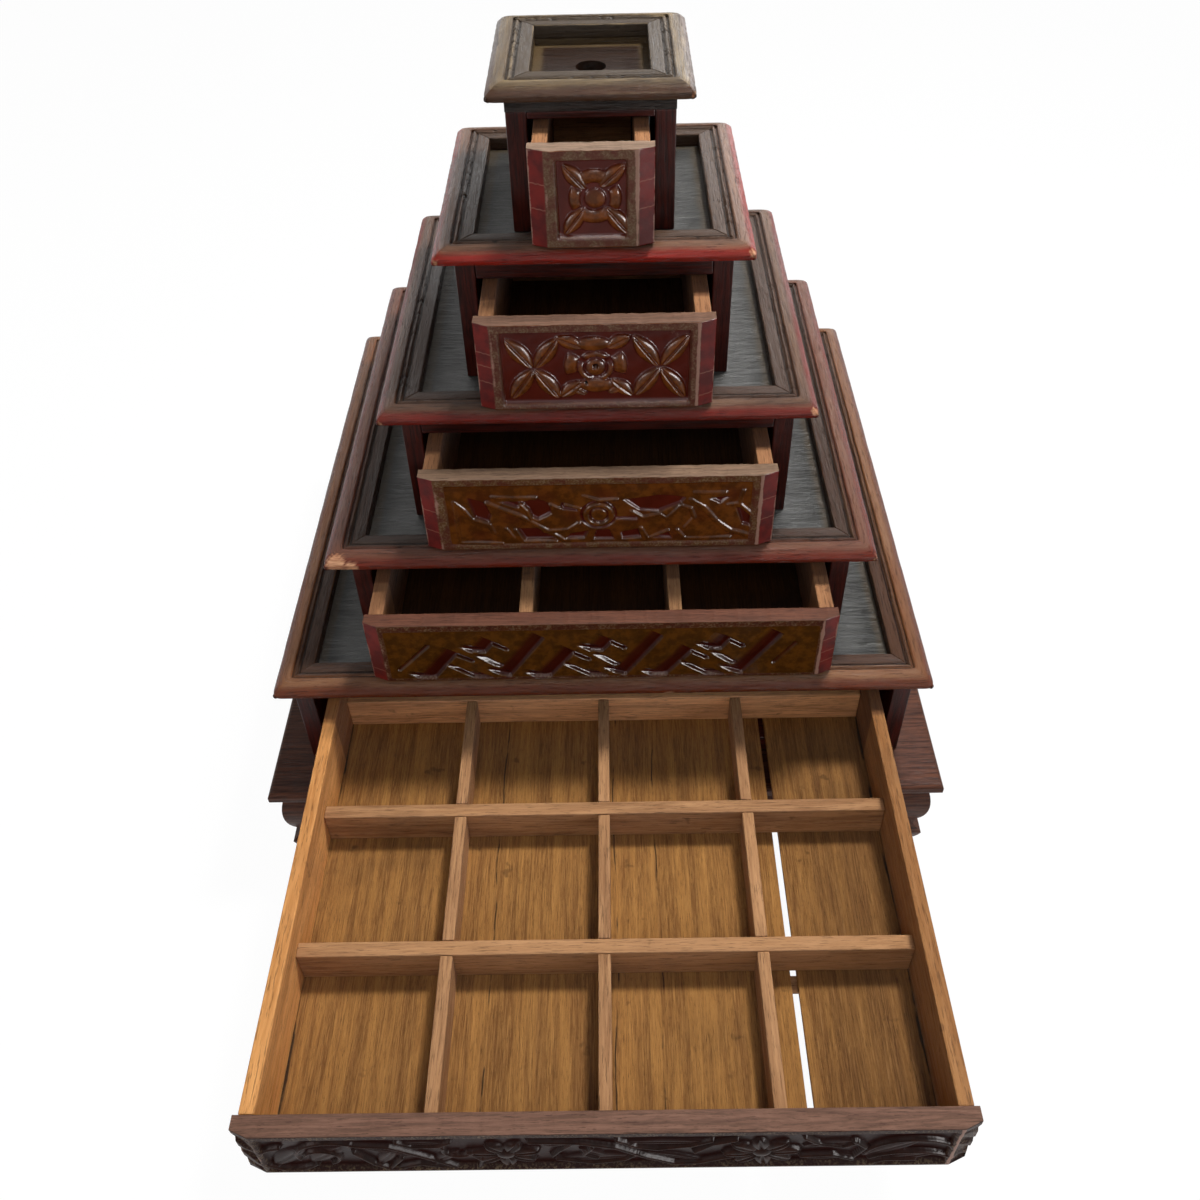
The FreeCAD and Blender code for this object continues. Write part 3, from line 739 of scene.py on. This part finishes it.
POCKETS = [
    [(-71, 15), (-61, 11), (-58, 2), (-60, -5), (-68, -2)],
    [(-46, -8), (-41, -18), (-21, -18), (-30, -8)],
    [(-41, 11), (-34, 14), (-26, 10), (-25, 2), (-33, -3), (-39, 1)],
    [(-20, 11), (-11, 7), (-11, 3), (-22, 5)],
    [(12, 12), (22, 3), (33, 2), (45, 8), (48, 13), (32, 15)],
    [(53, -1), (52, -9), (50, -16), (74, -16), (62, -5)], [(-2, -10), (6, -10), (9, -18), (-4, -18)],
    [(26, -17), (38, -12), (41, -18)], [(58, 12), (72, 13), (66, 7)],
    [(74, 5), (84, 4), (84, -10), (78, -8)], [(-56, 12), (-36, 12), (-44, 6)],
    [(8, 0), (22, -1), (21, -4), (8, -3)], [(-16, -12), (-5, -10), (-8, -17), (-20, -17)],
    [(11, -12), (22, -9), (24, -17), (12, -18)],
]


def carve_third(X, Z):
    """Scrolling foliage about a small flower: pockets cut round leaves, with rounded ribs on
    the leaves' edges, a long slanted leaf to the left and a bowed stem to the right."""
    swell = 0.35 * np.sin(X / 5.5 + 0.8) * np.cos(Z / 4.5)
    cut = np.maximum.reduce([pocket(X, Z, corners) for corners in POCKETS])
    radius = np.hypot(X, Z - 1)
    groove = bell(radius - 9.3, 0.7) + bell(radius - 4.9, 0.6)
    field = 1.6 + swell - 1.9 * np.maximum(cut, 0.7 * groove)
    ring = 2.6 * arch((radius - 7) / 1.9)
    ribs = [
        ([(-78, 12), (-77, -18), (-54, -19)], 1.5),
        ([(-78, 12), (-73, 6), (-69, -1), (-60, -5), (-58, -11)], 1.8),
        ([(-60, 10.5), (-42, 0.5), (-30, -9), (-20, -17)], 2.2), ([(-51, -8), (-47, -15)], 1.3),
        ([(-46, -9), (-42, -18), (-24, -18)], 1.6), ([(-57, 15), (-34, 14)], 1.8),
        ([(-42, 9), (-39, 5), (-37, -1)], 1.5), ([(-30, -10.5), (-17, -9.5), (-11, -5)], 1.8),
        ([(-26, 9), (-21, 6)], 1.5), ([(-18, 9), (-10, 6)], 1.3),
        ([(-8, 15), (0, 11.5), (10, 12)], 1.5),
        ([(18, 3), (24, -1.5), (33, 1), (37, -2), (45, 7)], 1.8),
        ([(45, 7), (50, 5), (52, -2), (47, -9)], 1.5), ([(23, -9), (27, -17)], 1.6),
        ([(50, 11), (57, 5.5), (64, -4.5), (72, -12), (84, -16)], 2.3), ([(52, 16), (68, 15.5)], 2.2),
        ([(78, 17), (76, 8), (70, 7)], 1.5), ([(76, 7.5), (83, 0)], 1.9),
        ([(43, -11), (47, -17), (72, -17)], 1.6), ([(28, -16), (38, -11)], 1.3),
    ]
    layers = [ridge(X, Z, points, width, 2.6) for points, width in ribs]
    return np.maximum.reduce([field, ring, dome(X, Z, 0, 1, 4.6, 4.6, 2.0)] + layers)


FRET = [
    [(-37, -19), (-31, -20), (-16, 1), (-7, -5)], [(-15, -12), (-4, -20), (2, -20)],
    [(-6, 3), (0, 2.5), (5, 10), (13, 4.5)], [(2, -4), (9, -10)], [(8, -16), (13, -18), (33, 13)],
]
FRET_REPEAT = 66.0


def carve_second(X, Z):
    """Slanted fret: three repeats of long diagonals and short zigzags. Each stroke is cut with
    a long slope from the upper left and a short steep wall at its lower right: the greatest
    of several narrow cuts, each shifted up and to the left and shallower than the last.
    Heights are given from the uncut face down, so this one is negative."""
    steps = 7
    cut = np.zeros(X.shape)
    for repeat in (-1, 0, 1):
        for points in FRET:
            moved = np.array(points, float) + (repeat * FRET_REPEAT, 0)
            for k in range(steps):
                share = 1 - k / steps
                shifted = moved + (-1.15 * k, 0.75 * k)
                cut = np.maximum(cut, share * np.sqrt(ridge(X, Z, shifted, 1.5, 1.0)))
    for points in ([(-115, -12), (-97, 8)], [(97, -10), (108, 6)]):
        cut = np.maximum(cut, 0.45 * ridge(X, Z, points, 1.3, 1.0))
    return -2.5 * cut


def arc_points(x, z, radius, start, end, squash=1.0, count=14):
    """Points of an arc between two angles in degrees."""
    a = np.radians(np.linspace(start, end, count))
    return list(zip(x + radius * np.cos(a), z + squash * radius * np.sin(a)))


def carve_lowest(X, Z):
    """Running foliage: large scrolls at both ends, a stem that waves between two many-leaved
    flowers, and thin ribs that outline the leaves."""
    ribs = [
        arc_points(-143, -4, 14, 100, 330, 0.9), arc_points(-122, 0, 17, 60, 200, 0.8),
        arc_points(-128, -3, 8, -60, 160, 0.9), [(-114, 11), (-97, 8), (-82, -4), (-68, -17)],
        [(-113, 2), (-106, -11), (-99, -17), (-92, -5)], [(-93, 13), (-86, 8), (-74, 9), (-69, 13)],
        arc_points(-66, 4, 7, 160, 340), [(-62, 1), (-56, -8), (-58, -16)],
        [(-34, 12), (-12, 11), (4, 5), (18, -7), (31, -15), (43, -14), (57, -7)],
        [(-22, -8), (-6, -13), (9, -9), (14, -3)], [(-15, 10), (-20, 3), (-24, -4)],
        [(5, 13), (13, 6), (23, 3), (38, 6), (47, 12)], [(40, -2), (48, 8), (58, 12)],
        [(88, 13), (95, 6), (106, 3), (112, 8)], [(88, -8), (102, -7), (112, -13)],
        arc_points(137, -8, 21, 165, 20, 0.85), arc_points(137, -14, 19, 160, 30, 0.5),
        [(112, -9), (116, 2), (110, 9)], [(118, -18), (126, -13), (140, -13)],
        [(-6, 5), (-10, -3), (-4, -7)], [(-98, -18), (-84, -12), (-72, -17)],
    ]
    layers = [ridge(X, Z, points, 1.25, 2.3) for points in ribs]
    for x, z, radius, count, turn in ((-45, -2, 11.5, 7, 0.3), (70, -3, 12.5, 8, 0.1)):
        for k in range(count):
            a = turn + 2 * math.pi * k / count
            tip = (x + 1.45 * radius * math.cos(a), z + 1.15 * radius * math.sin(a))
            layers.append(leaf(X, Z, (x + 3 * math.cos(a), z + 3 * math.sin(a)), tip, 4.4, 2.5, 0.6))
        layers.append(dome(X, Z, x, z, 5.0, 4.6, 2.8))
    leaves = [
        ((-152, -14), (-134, 8), 6), ((-134, -10), (-118, 8), 6), ((-112, 9), (-84, -6), 2),
        ((-104, -14), (-94, 4), 4), ((-90, 12), (-70, 11), 3), ((-80, -14), (-66, 2), 4),
        ((-24, -10), (12, -6), 5.5), ((-28, 6), (-12, 12), 3.5), ((8, 10), (46, 9), 3.5),
        ((18, -2), (44, -13), 2.5), ((88, 2), (112, 8), 4.5), ((90, -12), (114, -9), 4),
        ((116, -10), (140, 8), 6), ((124, -16), (152, -6), 4.5), ((-12, 2), (0, -6), 3.5),
    ]
    layers.extend(leaf(X, Z, start, end, width, 1.4, 0.35) for start, end, width in leaves)
    return np.maximum.reduce(layers)


FRONTS = {
    # carving, width of the border at the ends, at the foot and at the top, depth of the field,
    # carving on the cants, colours of ground, relief, border and top edge, and for each cant the
    # heights of its pale cracks
    1: (carve_lowest, 1.5, 1.5, 4.0, 2.6, 1.6, srgb(36, 13, 9), srgb(52, 28, 20), srgb(44, 22, 17),
        srgb(132, 98, 82), ((), ())),
    2: (carve_second, 1.0, 1.0, 4.0, 0.0, 0.0, srgb(60, 13, 6), srgb(94, 56, 14), srgb(80, 40, 14),
        srgb(108, 66, 48), ((-14,), (-12, -4, 6))),
    3: (carve_third, 4.0, 2.5, 4.0, 2.4, 0.0, srgb(76, 20, 11), srgb(106, 58, 17), srgb(94, 62, 32),
        srgb(136, 108, 86), ((3, -12), (8, -6))),
    4: (carve_fourth, 3.5, 1.0, 4.5, 2.8, 0.0, srgb(78, 24, 16), srgb(122, 66, 26), srgb(94, 60, 44),
        srgb(122, 90, 72), ((9, 1, -9), (-5, -19))),
    5: (carve_top, 4.5, 3.5, 5.0, 2.8, 0.0, srgb(84, 30, 22), srgb(128, 70, 32), srgb(100, 74, 54),
        srgb(152, 126, 106), ((8.5, -5), (9.5, -5))),
}
CANT_WIDTH, CANT_DEPTH, EDGE = 8.3, 3.5, 0.7
CARVING_LOWERED = {1: 3.0, 2: 1.5, 3: 2.5, 4: 2.0, 5: 1.0}
FOOT_STEP = {1: 1.6, 2: 1.6, 3: 1.6, 4: 3.5, 5: 3.5}
LOWEST_SHINE, UPPER_SHINE = (0.05, 0.3), (0.14, 0.16)
FACE_ROWS, SIDE_ROWS = 130, 6
PULL_RADIUS, PULL_DEPTH = 1.6, 0.8
NAIL_HOLE, NAIL_RADIUS, NAIL_DEPTH = (-5.0, -10.5), 0.9, 3.0


def drawer_front(number):
    """Carved front board: its section is carried along X. On the face, depth comes from the
    carving; towards each end the face slants back in a cant. The ends close on a point."""
    (carving, side_margin, foot_margin, top_margin, sink, cant_carve, ground, relief_colour, border,
     top, cracks) = FRONTS[number]
    node = "drawer_front_%d" % number
    low, high = (np.array(corner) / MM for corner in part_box(node))
    half = (high[0] - low[0]) / 2
    middle_z = (high[2] + low[2]) / 2
    half_z = (high[2] - low[2]) / 2
    thick = high[1] - low[1]
    columns = int(min(520, 5.2 * half))
    x = np.linspace(-half, half, columns)
    face_z = np.linspace(-half_z + EDGE, half_z - EDGE, FACE_ROWS)
    a = np.linspace(0, math.pi / 2, 4)[1:-1]
    rise, fall = EDGE * np.sin(a), EDGE * (1 - np.cos(a))
    inner, outer = EDGE * (1 - np.sin(a)), np.linspace(EDGE, thick - EDGE, SIDE_ROWS)
    depth = np.concatenate([np.zeros(FACE_ROWS), fall, outer, thick - EDGE + rise,
                            np.full(SIDE_ROWS, thick), thick - fall, outer[::-1], inner])
    z = np.concatenate([face_z, half_z - EDGE + rise, np.full(SIDE_ROWS, half_z), half_z - fall,
                        np.linspace(half_z - EDGE, -half_z + EDGE, SIDE_ROWS), -half_z + inner,
                        np.full(SIDE_ROWS, -half_z), -half_z + fall])
    X = np.broadcast_to(x[:, None], (columns, len(z))).copy()
    Z = np.broadcast_to(z[None], X.shape)
    D = np.broadcast_to(depth[None], X.shape)
    on_face = D == 0
    past_cant = np.abs(X) - (half - CANT_WIDTH)
    on_cant = smooth_step(past_cant / 0.8)
    back_off = CANT_DEPTH * np.clip(past_cant / CANT_WIDTH, 0, 1)
    from_end = -side_margin - past_cant
    from_foot = Z + half_z - foot_margin
    from_top = half_z - top_margin - Z
    below_top = smooth_step(from_top / 1.5)
    inside = smooth_step(from_end / 2.0) * smooth_step(from_foot / FOOT_STEP[number]) * below_top
    raised = carving(X, Z + CARVING_LOWERED[number])
    height = inside * (np.clip(raised, -3, sink + 0.3) - sink)
    if cant_carve:
        swirl = np.sin(Z / 3.2 + X / 2.5) * np.sin(Z / 5.0)
        height = height - cant_carve * on_cant * smooth_step(0.5 + swirl) * below_top
    rng = np.random.default_rng(70 + number)
    tool = ripples(X / 61.0 + Z / 83.0, rng, (1, 2), 0.08)
    tool = tool + ripples(Z / 31.0 - X / 47.0, rng, (1, 3), 0.05) - 0.13
    height = (height + tool) * on_face
    # Painted shade inside the pull hole and the nail hole.
    hole_shade = np.zeros(X.shape)
    if number == 4:
        hole = (np.hypot(X, Z) < PULL_RADIUS) & on_face
        nail = (np.hypot(X - NAIL_HOLE[0], Z - NAIL_HOLE[1]) < NAIL_RADIUS) & on_face
        height = np.where(hole, -thick * PULL_DEPTH, np.where(nail, -NAIL_DEPTH, height))
        hole_shade = (hole | nail).astype(float)
    y = np.maximum(low[1] + D + back_off * (1 - D / thick) - height, low[1])
    worn_in = 0.35 * np.abs(ripples(X / 80.0, rng, (1, 4, 9), 1.0)) * (D > 0) * (Z > 0) * (D < thick)
    points = np.stack([X, y, middle_z + Z - worn_in], -1)
    level = 1 + height / (sink or 1.8)
    relief = np.where(on_face, smooth_step((level - 0.15) / 0.55), 1.0)
    edging = 1 - smooth_step(from_end / 2.5) * smooth_step(from_foot / 2.5) * below_top
    # Pale edges of the face: rubbed wear and a painted highlight, brighter on the right hand cant, where
    # the light falls.
    cant_wear_and_highlight = np.where(X > 0, 1.3, 0.6) * bell(past_cant + 0.4, 1.1)
    edge_wear_and_highlight = np.maximum(cant_wear_and_highlight, 0.8 * bell(half_z - np.abs(Z), 0.9))
    edge_wear_and_highlight = np.maximum(edge_wear_and_highlight, 0.8 * bell(half - np.abs(X), 0.8))
    crack = np.zeros(X.shape)
    for sign, heights in zip((-1, 1), cracks):
        for z0 in heights:
            line = z0 + 0.06 * (np.abs(X) - half) + 0.12 * np.sin(X * 2.1)
            crack = np.maximum(crack, (X * sign > 0) * bell(Z - line, 0.22))
    bare = ((D > 0.3) & (Z > 0)) | (D > thick - EDGE)
    # A front's wear values carry rubbed wear and a painted highlight along its edges.
    values = {"relief": relief, "hole_shade": hole_shade, "cant": on_cant * (D < 2.5) * (number > 1),
              "bare": bare.astype(float), "wear": edge_wear_and_highlight * on_face, "border": edging * on_face,
              "crack": 0.45 * crack}
    rows, across = X.shape
    faces = grid_faces(rows, across, False)[:, ::-1]
    ends = [(side * half, low[1] + (thick + CANT_DEPTH) / 2, middle_z) for side in (-1, 1)]
    ring = np.arange(across)
    after = (ring + 1) % across
    tip = 0 * ring + rows * across
    first = np.stack([ring, after, tip], -1)
    last = np.stack([tip - across + after, tip - across + ring, tip + 1], -1)
    everything = np.concatenate([points.reshape(-1, 3), ends])
    values = {key: np.concatenate([value.ravel(), [0, 0]]) for key, value in values.items()}
    mesh = mesh_of("carved_front_%d" % number, everything * MM, [faces, first, last], values)
    specular, gloss = LOWEST_SHINE if number == 1 else UPPER_SHINE
    material = carved_finish("carved_front_%d" % number, ground, relief_colour, border, top,
                             number * 3.1, specular, gloss)
    show("carved_front_%d" % number, mesh, material, "drawer_%d" % number, node)


# Pieces

# The lowest floor's cracks by X and half width, the half width of the painted shade lines where it meets
# the side walls, and where painted shade darkens its right hand side
FLOOR_CRACKS = (29.0 * MM, -59.0 * MM, 6.0 * MM)
EDGE_SHADE_LINE, FINE_CRACK = 1.2 * MM, 0.55 * MM
SIDE_SHADE, FLOOR_SHADE, SHADE_FROM = 0.7, 0.5, 80 * MM
# How far before its casing a drawer shows its age, and how far before it the rear divider is painted paler,
# as painted light where the casing shades it
AGED_AHEAD = {1: 16 * MM, 2: 9 * MM, 3: 13.5 * MM, 4: 18 * MM, 5: 7 * MM}
REAR_AHEAD = 50 * MM
SIDE_LIGHT, SIDE_DARK = srgb(226, 162, 96), srgb(190, 126, 66)
UPPER_LIGHT, UPPER_DARK = srgb(164, 116, 78), srgb(128, 86, 56)
FLOOR_LIGHT, FLOOR_DARK = srgb(168, 120, 62), srgb(110, 70, 33)
DIVIDER_LIGHT, DIVIDER_DARK = srgb(182, 136, 93), srgb(138, 96, 62)
# Painted light: the rear divider is lightened where the casing above shades it.
PAINTED_LIGHT_REAR = (1.7, 1.65, 1.7, 1.0)
# Upper floors behind the line: darker with age, and with painted shade inside the casing.
AGED_AND_PAINTED_SHADE_FLOOR = srgb(84, 68, 60)


def make_drawer(number):
    """Front, sides, back, bottom and any dividers of one drawer."""
    body, tail = "drawer_%d" % number, "_%d" % number
    casing_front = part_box("casing_sides" + tail)[0].y
    line = casing_front - AGED_AHEAD[number]
    drawer_front(number)
    lowest = number == 1
    light, dark = (SIDE_LIGHT, SIDE_DARK) if lowest else (UPPER_LIGHT, UPPER_DARK)
    # The lowest drawer's sides, like every floor, get painted shade towards the right hand side.
    side = bare_wood("side_wood" + tail, light, dark, "y", line, number * 5.3, SIDE_SHADE if lowest else 0)
    boards("side_boards" + tail, "drawer_sides" + tail, side, body, seed=number)
    back = bare_wood("back_wood" + tail, DIVIDER_LIGHT, DIVIDER_DARK, "x", line, number * 2.9)
    boards("back_board" + tail, "drawer_back" + tail, back, body, seed=number)
    low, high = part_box("drawer_bottom" + tail)
    # The floor's two edges get painted shade lines against the walls; the lines between are cracks.
    cracks = [(low.x, EDGE_SHADE_LINE), (high.x, EDGE_SHADE_LINE)] + [(x, FINE_CRACK) for x in FLOOR_CRACKS]
    floor = bare_wood("floor_wood" + tail, FLOOR_LIGHT, FLOOR_DARK, "y", None if lowest else line,
                      number * 7.7, FLOOR_SHADE, fine=3.0, straight=1.5, age_and_painted_light_tint=AGED_AND_PAINTED_SHADE_FLOOR,
                      cracks=cracks if lowest else (), shade_from=SHADE_FROM)
    boards("floor_boards" + tail, "drawer_bottom" + tail, floor, body,
           0.4 * MM, 0.1 * MM, seed=number)
    if lowest:
        # The rear cross divider gets painted light behind its line.
        cross = bare_wood("cross_divider_wood", DIVIDER_LIGHT, DIVIDER_DARK, "x",
                          casing_front - REAR_AHEAD, 1.3, age_and_painted_light_tint=PAINTED_LIGHT_REAR)
        boards("cross_divider_boards", "cross_dividers", cross, body)
        along = bare_wood("long_divider_wood", DIVIDER_LIGHT, DIVIDER_DARK, "y", None, 4.1)
        boards("long_divider_boards", "long_dividers", along, body)
        boards("floor_batten", "drawer_batten", cross, body)
    if number == 2:
        tall = bare_wood("tall_divider_wood", DIVIDER_LIGHT, DIVIDER_DARK, "y", line, 6.2)
        boards("tall_divider_boards", "tall_dividers", tall, body)


CHIPS = {
    # place as a share of the half sizes and height in millimetres, radius, depth
    1: [((0.2, -0.995, 1.0), 2.0, 0.3)],
    2: [((-0.955, -0.985, 3.0), 6.5, 1.0), ((-0.90, -0.99, 1.5), 4.0, 0.5),
        ((0.99, -0.985, 2.0), 2.0, 0.4)],
    3: [((0.985, -0.985, 4.0), 2.6, 0.7), ((-0.98, -0.985, 1.5), 2.0, 0.5)],
    4: [((0.975, -0.97, 3.0), 2.6, 0.8), ((-0.97, -0.98, 2.0), 2.0, 0.5)],
    5: [((0.97, -0.97, 2.0), 1.6, 0.5)],
}
PANEL_BLACK, PANEL_GREY, PANEL_RIM = srgb(20, 20, 18), srgb(46, 45, 40), srgb(64, 51, 31)
PANEL_LOOKS = {
    # how dusty, dark and light tone, tone along the frame, shine
    1: (0.0, PANEL_BLACK, PANEL_GREY, PANEL_RIM, 0.4),
    2: (0.1, PANEL_BLACK, PANEL_GREY, PANEL_RIM, 0.4),
    3: (0.3, PANEL_BLACK, PANEL_GREY, PANEL_RIM, 0.4),
    4: (0.1, PANEL_BLACK, PANEL_GREY, PANEL_RIM, 0.3),
    5: (0.0, srgb(24, 14, 8), srgb(48, 30, 19), srgb(92, 74, 48), 0.1),
}
CORNICE_COLOURS = {
    # nose, slope, rubbed streaks, inner mouldings, how much is rubbed
    1: (srgb(100, 42, 16), srgb(122, 78, 50), srgb(150, 112, 82), srgb(70, 48, 36), 0.4),
    2: (srgb(106, 30, 8), srgb(108, 66, 50), srgb(124, 90, 68), srgb(62, 46, 36), 0.35),
    3: (srgb(112, 22, 8), srgb(84, 58, 44), srgb(128, 98, 76), srgb(74, 56, 46), 0.4),
    4: (srgb(140, 24, 8), srgb(92, 64, 48), srgb(146, 104, 78), srgb(74, 56, 44), 0.45),
    5: (srgb(74, 46, 29), srgb(80, 64, 46), srgb(146, 124, 90), srgb(72, 60, 48), 0.65),
}


def make_casing(number):
    """Boards, panel and cornice of one tier."""
    tail = "_%d" % number
    deep, warm = srgb(34, 10, 7), srgb(76, 24, 15)
    casing = lacquer("casing_lacquer" + tail, deep, warm, "z", 0.32, 0.25, number * 1.9)
    boards("casing_side_boards" + tail, "casing_sides" + tail, casing, "chest",
           seed=20 + number)
    rail = lacquer("rail_lacquer" + tail, deep, warm, "x", 0.32, 0.15, number * 2.7)
    for part in ("casing_back", "casing_floor", "casing_rail"):
        boards(part + "_board" + tail, part + tail, rail, "chest", seed=30 + number)
    low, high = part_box("cornice" + tail)
    half_x = (high.x - low.x) / 2 - MOULDING_WIDTH * MM
    half_y = (high.y - low.y) / 2 - MOULDING_WIDTH * MM
    panel = tray_panel("panel_lacquer" + tail, half_x, half_y, *PANEL_LOOKS[number])
    if number < 5:
        boards("panel_board" + tail, "top_panel" + tail, panel, "chest",
               0.4 * MM, 0.1 * MM)
    else:
        refinish("top_panel_5", panel)
    cornice(number, CHIPS[number], moulding_lacquer("outer_lacquer" + tail, *CORNICE_COLOURS[number],
                                                    number * 4.3))


def refinish(name, material):
    """Give a CAD node that keeps its own mesh a material."""
    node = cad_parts[name]
    node.data.materials.clear()
    node.data.materials.append(material)


def make_base():
    """Ledge, feet and aprons."""
    finish = lacquer("base_lacquer", srgb(50, 24, 15), srgb(100, 60, 42), "x", 0.28, 0.3, 8.8, 0.08)
    for name in ("feet", "aprons", "base_ledge"):
        refinish(name, finish)


bpy.context.scene.view_settings.view_transform = "Standard"
place_camera()
light_studio()
lay_floor()
for tier in TIERS:
    make_casing(tier)
    make_drawer(tier)
make_base()
